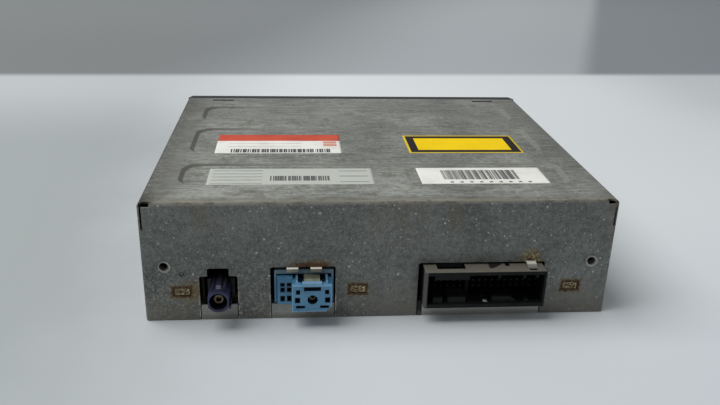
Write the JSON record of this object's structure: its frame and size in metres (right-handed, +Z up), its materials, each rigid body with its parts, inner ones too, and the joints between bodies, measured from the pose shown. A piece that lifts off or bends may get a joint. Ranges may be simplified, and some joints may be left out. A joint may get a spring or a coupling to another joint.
{
  "type": "car navigation dvd player",
  "caption": "Slim slot-in DVD player in a folded steel case: ribbed top, rear panel with three sockets, shuttered front slot, and a damped drive inside.",
  "frame": {"origin": "bottom centre of the whole object, connectors included", "axes": "+Z up, connector panel facing -Y, disc slot facing +Y"},
  "size_m": [0.18, 0.166, 0.0481],
  "materials": {
    "cover_steel": "dull zinc-plated sheet",
    "chassis_steel": "dull zinc-plated sheet",
    "frame_steel": "plated sheet",
    "bright_steel": "ground steel",
    "screw_steel": "plated screws",
    "bezel_plastic": "fine grained",
    "black_plastic": "moulded",
    "violet_plastic": "moulded",
    "blue_plastic": "moulded",
    "spring_metal": "tinned spring",
    "gold_contact": "plated contacts",
    "board_green": "solder resist",
    "chip_black": "moulded packages",
    "can_tin": "tinned can",
    "cap_sleeve": "aluminium cans",
    "coil_ferrite": "ferrite",
    "socket_cream": "moulded",
    "ribbon_white": "flat cable",
    "rubber_black": "soft rubber",
    "roller_rubber": "matt rubber",
    "white_acetal": "moulded acetal",
    "grey_plastic": "moulded",
    "cast_zinc": "die cast",
    "motor_steel": "drawn can",
    "winding_copper": "wound core",
    "table_black": "moulded",
    "lens_glass": "coated lens",
    "lamp_clear": "clear"
  },
  "bodies": {
    "case": {"top_cover": "cover_steel", "bottom_chassis": "chassis_steel", "cover_screws": "screw_steel", "front_bezel": "bezel_plastic", "indicator_lens": "lamp_clear", "front_board": "board_green", "eject_switch": "black_plastic", "main_board": "board_green", "board_screws": "screw_steel", "fakra_housing": "violet_plastic", "fakra_contact": "gold_contact", "video_housing": "blue_plastic", "video_contacts": "gold_contact", "video_springs": "spring_metal", "main_header": "black_plastic", "header_pins": "gold_contact", "header_spring": "spring_metal", "processor_chips": "chip_black", "memory_chips": "chip_black", "receiver_can": "can_tin", "gyro_sensor": "can_tin", "capacitors": "cap_sleeve", "power_coils": "coil_ferrite", "board_sockets": "socket_cream", "main_ribbon": "ribbon_white", "deck_brackets": "frame_steel", "dampers": "rubber_black", "deck_frame": "frame_steel", "deck_lid": "frame_steel", "drive_screws": "screw_steel", "drive_pins": "bright_steel", "disc_guide": "grey_plastic", "servo_board": "board_green", "servo_chips": "chip_black", "traverse_frame": "grey_plastic", "guide_rods": "bright_steel", "spindle_base": "winding_copper", "sled_motor": "motor_steel", "load_motor": "motor_steel"},
    "shutter": {"slot_shutter": "bezel_plastic"},
    "button": {"eject_button": "bezel_plastic"},
    "spindle": {"turntable": "table_black", "rotor_cup": "motor_steel"},
    "sled": {"pickup_body": "cast_zinc", "pickup_rack": "white_acetal"},
    "lens_unit": {"lens_holder": "table_black", "objective_lens": "lens_glass"},
    "sled_wheel": {"sled_gear": "white_acetal"},
    "sled_drive": {"sled_pinion": "white_acetal"},
    "clamp": {"clamp_arm": "frame_steel"},
    "clamp_disc": {"clamper": "table_black"},
    "mode_plate": {"mode_slider": "frame_steel"},
    "swing_arm": {"roller_arm": "frame_steel", "feed_belt": "rubber_black"},
    "roller": {"feed_shaft": "bright_steel", "feed_rubber": "roller_rubber", "feed_pulley": "white_acetal"},
    "pivot_wheel": {"pivot_gear": "white_acetal"},
    "middle_wheel": {"load_gear": "white_acetal"},
    "motor_pinion": {"load_pinion": "bright_steel"}
  },
  "joints": [
    {"name": "shutter_slide", "type": "slide", "parent": "case", "child": "shutter", "axis": [0, 0, -1], "range_m": [0, 0.009]},
    {"name": "eject_press", "type": "slide", "parent": "case", "child": "button", "axis": [0, -1, 0], "range_m": [0, 0.001], "stiffness_N_per_m": 1500, "springref_m": -0.0002},
    {"name": "spindle_spin", "type": "hinge", "parent": "case", "child": "spindle", "pos_m": [0, -0.001, 0.03], "axis": [0, 0, 1], "continuous": true},
    {"name": "mode_slide", "type": "slide", "parent": "case", "child": "mode_plate", "axis": [1, 0, 0], "range_m": [-0.01, 0]},
    {"name": "clamp_lift", "type": "hinge", "parent": "case", "child": "clamp", "pos_m": [0, -0.058, 0.0434], "axis": [1, 0, 0], "range_deg": [-5.6, 0]},
    {"name": "clamper_spin", "type": "hinge", "parent": "clamp", "child": "clamp_disc", "pos_m": [0, -0.00055, 0.043], "axis": [0, 0, 1], "continuous": true},
    {"name": "roller_swing", "type": "hinge", "parent": "case", "child": "swing_arm", "pos_m": [0, 0.048, 0.0305], "axis": [-1, 0, 0], "range_deg": [0, 16.8], "stiffness_Nm_per_rad": 0.06, "springref_deg": -20.05},
    {"name": "roller_spin", "type": "hinge", "parent": "swing_arm", "child": "roller", "pos_m": [0, 0.063, 0.0366], "axis": [1, 0, 0], "continuous": true},
    {"name": "pivot_gear_spin", "type": "hinge", "parent": "case", "child": "pivot_wheel", "pos_m": [0.067, 0.048, 0.0305], "axis": [1, 0, 0], "continuous": true},
    {"name": "load_gear_spin", "type": "hinge", "parent": "case", "child": "middle_wheel", "pos_m": [0.066, 0.04025, 0.03248], "axis": [1, 0, 0], "continuous": true},
    {"name": "load_motor_spin", "type": "hinge", "parent": "case", "child": "motor_pinion", "pos_m": [0.064, 0.033, 0.0291], "axis": [1, 0, 0], "continuous": true},
    {"name": "sled_slide", "type": "slide", "parent": "case", "child": "sled", "axis": [-1, 0, 0], "range_m": [0, 0.034]},
    {"name": "sled_gear_turn", "type": "hinge", "parent": "case", "child": "sled_wheel", "pos_m": [-0.03, -0.037, 0.029], "axis": [0, 0, 1], "range_deg": [0, 325]},
    {"name": "sled_motor_turn", "type": "hinge", "parent": "case", "child": "sled_drive", "pos_m": [-0.04009, -0.03989, 0.028], "axis": [0, 0, 1], "range_deg": [-1040, 0]},
    {"name": "focus_slide", "type": "slide", "parent": "sled", "child": "lens_unit", "axis": [0, 0, 1], "range_m": [-0.0004, 0.0005], "stiffness_N_per_m": 60}
  ],
  "couplings": [
    {"joint": "clamp_lift", "follows": "mode_slide", "rad_per_m": 9.7738},
    {"joint": "pivot_gear_spin", "follows": "roller_spin", "ratio": 1},
    {"joint": "load_gear_spin", "follows": "roller_spin", "ratio": -1.6667},
    {"joint": "load_motor_spin", "follows": "roller_spin", "ratio": 3.6667},
    {"joint": "sled_gear_turn", "follows": "sled_slide", "rad_per_m": 166.67},
    {"joint": "sled_motor_turn", "follows": "sled_slide", "rad_per_m": -533.33}
  ]
}
